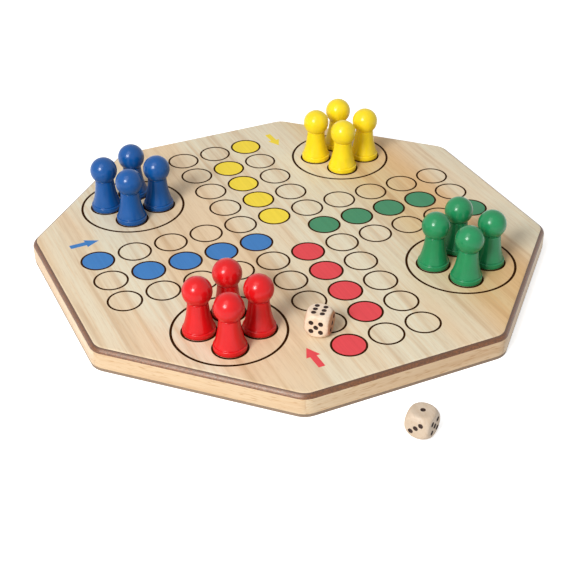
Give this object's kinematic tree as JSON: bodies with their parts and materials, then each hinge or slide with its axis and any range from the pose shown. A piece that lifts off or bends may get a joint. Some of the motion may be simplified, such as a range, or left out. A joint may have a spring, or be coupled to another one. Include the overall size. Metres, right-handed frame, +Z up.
{
  "type": "ludo game",
  "caption": "Octagonal framed wooden ludo board with printed ring fields and corner homes, turned round-headed pawns in red, blue, green and yellow, and rounded dice.",
  "frame": {"origin": "centre of the octagonal board's underside, on the table", "axes": "+Z up out of the playing face; +X towards the side between the yellow and green homes; -Y towards the side between the red and green homes, with the table die in front of it"},
  "size_m": [0.453, 0.5199, 0.0758],
  "materials": {
    "hardboard": "pressed brown hardboard, matt",
    "beech_strip": "planed beech, clear satin lacquer",
    "fibreboard": "brown fibreboard, edge rounded over and sanded",
    "beech_veneer": "pale beech veneer, printed, clear satin lacquer",
    "yellow_lacquer": "turned wood, glossy yellow lacquer",
    "blue_lacquer": "turned wood, glossy blue lacquer",
    "red_lacquer": "turned wood, glossy red lacquer",
    "green_lacquer": "turned wood, glossy green lacquer",
    "die_beech": "tumbled beech, fine open grain, matt",
    "pip_paint": "dark brown paint in drilled pips",
    "black_ink": "screen-printed near-black lines",
    "yellow_ink": "screen-printed yellow under satin lacquer",
    "blue_ink": "screen-printed blue under satin lacquer",
    "red_ink": "screen-printed red under satin lacquer",
    "green_ink": "screen-printed green under satin lacquer"
  },
  "bodies": {
    "board": {"bottom_panel": "hardboard", "frame_strip_1": "beech_strip", "frame_strip_2": "beech_strip", "frame_strip_3": "beech_strip", "frame_strip_4": "beech_strip", "frame_strip_5": "beech_strip", "frame_strip_6": "beech_strip", "frame_strip_7": "beech_strip", "frame_strip_8": "beech_strip", "top_panel": "fibreboard", "top_veneer": "beech_veneer"},
    "yellow_pawn_1": {"yellow_pawn_1": "yellow_lacquer"},
    "yellow_pawn_2": {"yellow_pawn_2": "yellow_lacquer"},
    "yellow_pawn_3": {"yellow_pawn_3": "yellow_lacquer"},
    "yellow_pawn_4": {"yellow_pawn_4": "yellow_lacquer"},
    "blue_pawn_1": {"blue_pawn_1": "blue_lacquer"},
    "blue_pawn_2": {"blue_pawn_2": "blue_lacquer"},
    "blue_pawn_3": {"blue_pawn_3": "blue_lacquer"},
    "blue_pawn_4": {"blue_pawn_4": "blue_lacquer"},
    "red_pawn_1": {"red_pawn_1": "red_lacquer"},
    "red_pawn_2": {"red_pawn_2": "red_lacquer"},
    "red_pawn_3": {"red_pawn_3": "red_lacquer"},
    "red_pawn_4": {"red_pawn_4": "red_lacquer"},
    "green_pawn_1": {"green_pawn_1": "green_lacquer"},
    "green_pawn_2": {"green_pawn_2": "green_lacquer"},
    "green_pawn_3": {"green_pawn_3": "green_lacquer"},
    "green_pawn_4": {"green_pawn_4": "green_lacquer"},
    "board_die": {"board_die": "die_beech"},
    "table_die": {"table_die": "die_beech"}
  },
  "joints": [
    {"name": "yellow_pawn_1_lift", "type": "slide", "parent": "board", "child": "yellow_pawn_1", "axis": [0, 0, 1], "range_m": [0, 0.1]},
    {"name": "yellow_pawn_2_lift", "type": "slide", "parent": "board", "child": "yellow_pawn_2", "axis": [0, 0, 1], "range_m": [0, 0.1]},
    {"name": "yellow_pawn_3_lift", "type": "slide", "parent": "board", "child": "yellow_pawn_3", "axis": [0, 0, 1], "range_m": [0, 0.1]},
    {"name": "yellow_pawn_4_lift", "type": "slide", "parent": "board", "child": "yellow_pawn_4", "axis": [0, 0, 1], "range_m": [0, 0.1]},
    {"name": "blue_pawn_1_lift", "type": "slide", "parent": "board", "child": "blue_pawn_1", "axis": [0, 0, 1], "range_m": [0, 0.1]},
    {"name": "blue_pawn_2_lift", "type": "slide", "parent": "board", "child": "blue_pawn_2", "axis": [0, 0, 1], "range_m": [0, 0.1]},
    {"name": "blue_pawn_3_lift", "type": "slide", "parent": "board", "child": "blue_pawn_3", "axis": [0, 0, 1], "range_m": [0, 0.1]},
    {"name": "blue_pawn_4_lift", "type": "slide", "parent": "board", "child": "blue_pawn_4", "axis": [0, 0, 1], "range_m": [0, 0.1]},
    {"name": "red_pawn_1_lift", "type": "slide", "parent": "board", "child": "red_pawn_1", "axis": [0, 0, 1], "range_m": [0, 0.1]},
    {"name": "red_pawn_2_lift", "type": "slide", "parent": "board", "child": "red_pawn_2", "axis": [0, 0, 1], "range_m": [0, 0.1]},
    {"name": "red_pawn_3_lift", "type": "slide", "parent": "board", "child": "red_pawn_3", "axis": [0, 0, 1], "range_m": [0, 0.1]},
    {"name": "red_pawn_4_lift", "type": "slide", "parent": "board", "child": "red_pawn_4", "axis": [0, 0, 1], "range_m": [0, 0.1]},
    {"name": "green_pawn_1_lift", "type": "slide", "parent": "board", "child": "green_pawn_1", "axis": [0, 0, 1], "range_m": [0, 0.1]},
    {"name": "green_pawn_2_lift", "type": "slide", "parent": "board", "child": "green_pawn_2", "axis": [0, 0, 1], "range_m": [0, 0.1]},
    {"name": "green_pawn_3_lift", "type": "slide", "parent": "board", "child": "green_pawn_3", "axis": [0, 0, 1], "range_m": [0, 0.1]},
    {"name": "green_pawn_4_lift", "type": "slide", "parent": "board", "child": "green_pawn_4", "axis": [0, 0, 1], "range_m": [0, 0.1]},
    {"name": "board_die_lift", "type": "slide", "parent": "board", "child": "board_die", "axis": [0, 0, 1], "range_m": [0, 0.1]},
    {"name": "table_die_lift", "type": "slide", "parent": "board", "child": "table_die", "axis": [0, 0, 1], "range_m": [0, 0.1]}
  ]
}
